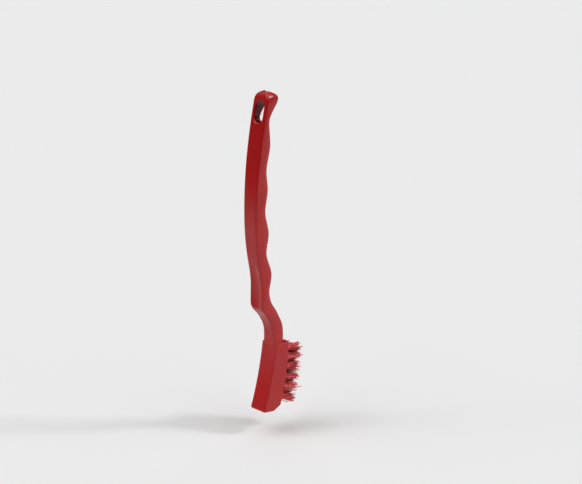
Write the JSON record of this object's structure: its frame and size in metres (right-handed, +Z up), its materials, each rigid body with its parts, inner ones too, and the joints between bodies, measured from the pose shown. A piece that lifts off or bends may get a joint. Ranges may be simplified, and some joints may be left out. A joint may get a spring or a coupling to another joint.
{
  "type": "crevice brush",
  "caption": "Narrow hand brush with a bowed finger grip, hanging slot, cranked neck and slim curved head set with stiff filament tufts for scrubbing gaps.",
  "frame": {"origin": "bottom centre of the brush's bounding box, with the tip of the head down", "axes": "+Z up along the grip from the head to the hanging end, +X the way the tufts point, +Y across the width"},
  "size_m": [0.044, 0.0144, 0.2291],
  "materials": {
    "stock_plastic": "red moulded polypropylene with a satin skin",
    "filament": "red crimped polyester filament",
    "anchor_steel": "bare flat wire, cut to length"
  },
  "bodies": {
    "root": {"stock": "stock_plastic", "tuft_left_1": "filament", "tuft_left_2": "filament", "tuft_left_3": "filament", "tuft_left_4": "filament", "tuft_left_5": "filament", "tuft_left_6": "filament", "tuft_middle_1": "filament", "tuft_middle_2": "filament", "tuft_middle_3": "filament", "tuft_middle_4": "filament", "tuft_middle_5": "filament", "tuft_right_1": "filament", "tuft_right_2": "filament", "tuft_right_3": "filament", "tuft_right_4": "filament", "tuft_right_5": "filament", "tuft_right_6": "filament", "anchor_left_1": "anchor_steel", "anchor_left_2": "anchor_steel", "anchor_left_3": "anchor_steel", "anchor_left_4": "anchor_steel", "anchor_left_5": "anchor_steel", "anchor_left_6": "anchor_steel", "anchor_middle_1": "anchor_steel", "anchor_middle_2": "anchor_steel", "anchor_middle_3": "anchor_steel", "anchor_middle_4": "anchor_steel", "anchor_middle_5": "anchor_steel", "anchor_right_1": "anchor_steel", "anchor_right_2": "anchor_steel", "anchor_right_3": "anchor_steel", "anchor_right_4": "anchor_steel", "anchor_right_5": "anchor_steel", "anchor_right_6": "anchor_steel"}
  },
  "joints": []
}
